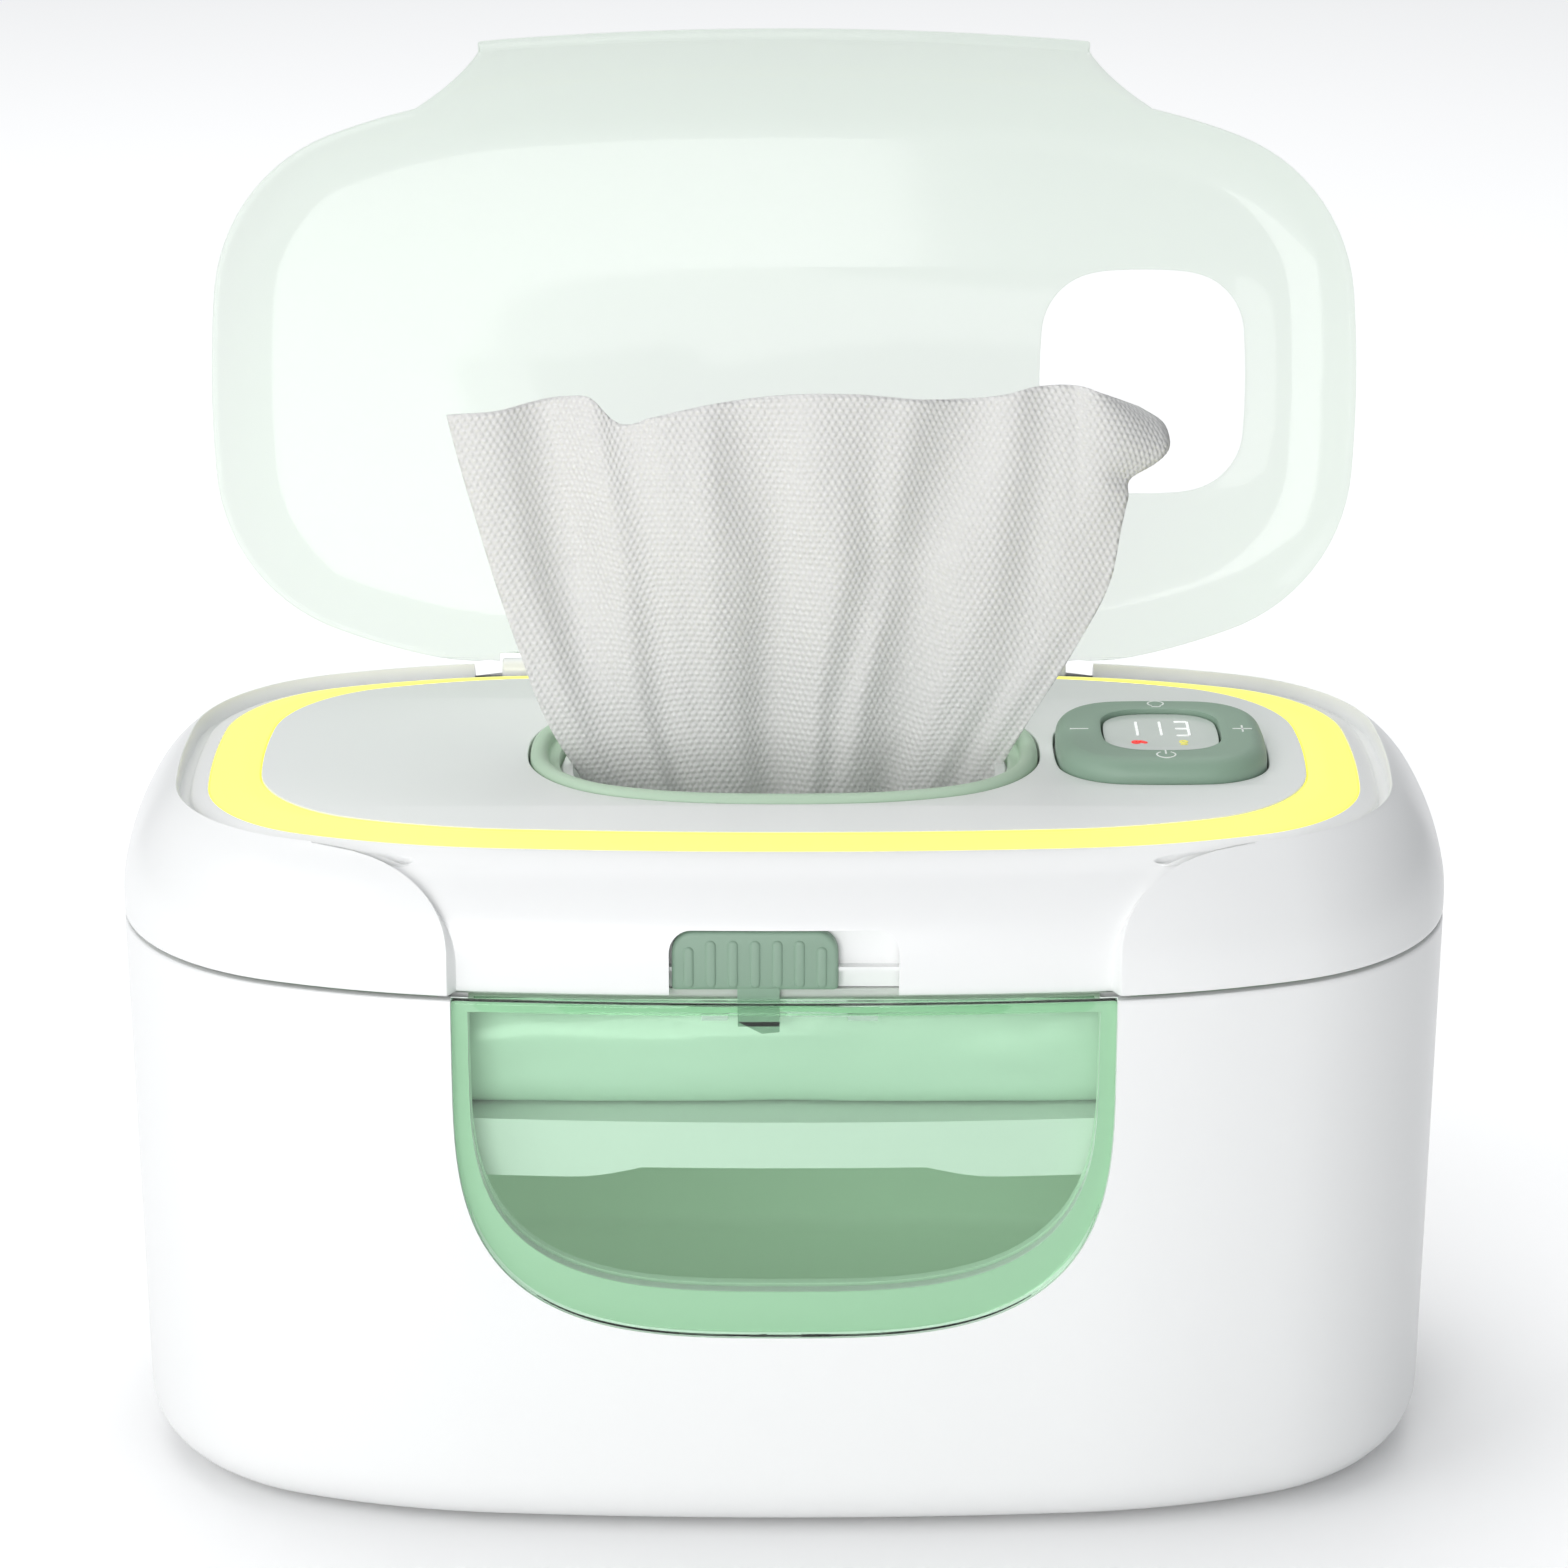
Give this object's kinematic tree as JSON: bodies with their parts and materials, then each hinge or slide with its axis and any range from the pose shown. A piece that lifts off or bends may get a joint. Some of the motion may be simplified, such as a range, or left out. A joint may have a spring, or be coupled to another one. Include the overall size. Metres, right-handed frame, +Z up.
{
  "type": "baby wipe warmer",
  "caption": "Oval tub that keeps wet wipes warm: hinged cover with heater, light ring and key pad, clear lid over the port, front window and sprung tray.",
  "frame": {"origin": "centre of the oval foot ring on the floor plane", "axes": "+X to the right seen from the front, +Y to the back, +Z up"},
  "size_m": [0.2498, 0.1511, 0.2603],
  "materials": {
    "housing": "glossy",
    "soft_green": "soft matt",
    "clear_green": "clear, polished",
    "clear_lid": "clear, polished",
    "grey_green": "satin",
    "ring_glow": "translucent, lit",
    "plate": "satin",
    "rubber_foot": "matt",
    "seal": "matt",
    "steel": "bright",
    "heater": "satin",
    "film": "satin",
    "board": "satin",
    "display_black": "satin",
    "lens": "polished",
    "icon": "printed",
    "socket": "satin",
    "wire": "matt",
    "wipe": "soft",
    "pack": "film"
  },
  "bodies": {
    "base": {"lower_housing": "housing", "foot_ring": "rubber_foot", "inner_tank": "grey_green", "tank_screws": "steel", "front_window": "clear_green", "latch_keeper": "steel", "lift_springs": "steel"},
    "tray": {"lift_tray": "housing", "wipes_pack": "pack"},
    "cover": {"upper_housing": "housing", "cover_liner": "housing", "cover_screws": "steel", "cover_seal": "seal", "hinge_pins": "steel", "top_plate": "plate", "light_ring": "ring_glow", "led_strip": "board", "port_lip": "soft_green", "port_chute": "housing", "deck_plate": "housing", "heater_plate": "heater", "heater_film": "film", "thermostat": "steel", "control_board": "board", "display_module": "display_black", "display_lens": "lens", "power_inlet": "socket", "wiring": "wire", "lid_pins": "steel", "wipe_sheet": "wipe"},
    "pad": {"key_pad": "soft_green", "key_icons": "icon"},
    "latch": {"latch_slider": "soft_green"},
    "lid_body": {"lid": "clear_lid"}
  },
  "joints": [
    {"name": "cover_hinge", "type": "hinge", "parent": "base", "child": "cover", "pos_m": [0, 0.0742, 0.108], "axis": [-1, 0, 0], "range_deg": [0, 85]},
    {"name": "lid_hinge", "type": "hinge", "parent": "cover", "child": "lid_body", "pos_m": [0, 0.0572, 0.131], "axis": [1, 0, 0], "range_deg": [0, 100], "deforming": ["wipe_sheet"]},
    {"name": "latch_slide", "type": "slide", "parent": "cover", "child": "latch", "axis": [1, 0, 0], "range_m": [0, 0.01]},
    {"name": "keypad_press", "type": "slide", "parent": "cover", "child": "pad", "axis": [0, 0, -1], "range_m": [0, 0.0007], "stiffness_N_per_m": 1500},
    {"name": "tray_slide", "type": "slide", "parent": "base", "child": "tray", "axis": [0, 0, -1], "range_m": [0, 0.03], "stiffness_N_per_m": 250, "springref_m": -0.03, "deforming": ["lift_springs"]}
  ]
}
